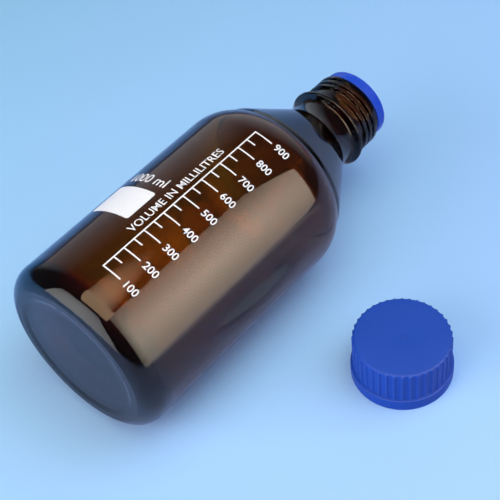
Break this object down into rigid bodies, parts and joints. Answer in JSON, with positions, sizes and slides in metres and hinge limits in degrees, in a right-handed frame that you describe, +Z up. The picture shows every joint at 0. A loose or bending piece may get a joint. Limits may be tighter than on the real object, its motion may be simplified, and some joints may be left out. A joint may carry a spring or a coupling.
{
  "type": "reagent bottle",
  "caption": "Amber glass laboratory bottle with sloping shoulder and screw neck, lying on its side, with blue pouring ring on its mouth and ribbed blue screw cap beside it.",
  "frame": {"origin": "centre of the bottle's standing ring, on the bottle's axis in the plane that it stands on", "axes": "+X along the bottle's axis from the base to the mouth, +Z up as the bottle lies, the cap stands on the -Y side"},
  "size_m": [0.2294, 0.1886, 0.101],
  "materials": {
    "amber_glass": "polished",
    "blue_ring_plastic": "gloss",
    "blue_cap_plastic": "satin"
  },
  "bodies": {
    "bottle": {"bottle": "amber_glass"},
    "pouring_ring": {"pouring_ring": "blue_ring_plastic"},
    "screw_cap": {"screw_cap": "blue_cap_plastic"}
  },
  "joints": [
    {"name": "ring_pull", "type": "slide", "parent": "bottle", "child": "pouring_ring", "axis": [1, 0, 0], "range_m": [0, 0.02]},
    {"name": "cap_lift", "type": "slide", "parent": "bottle", "child": "screw_cap", "axis": [0, 0, 1], "range_m": [0, 0.11]}
  ]
}
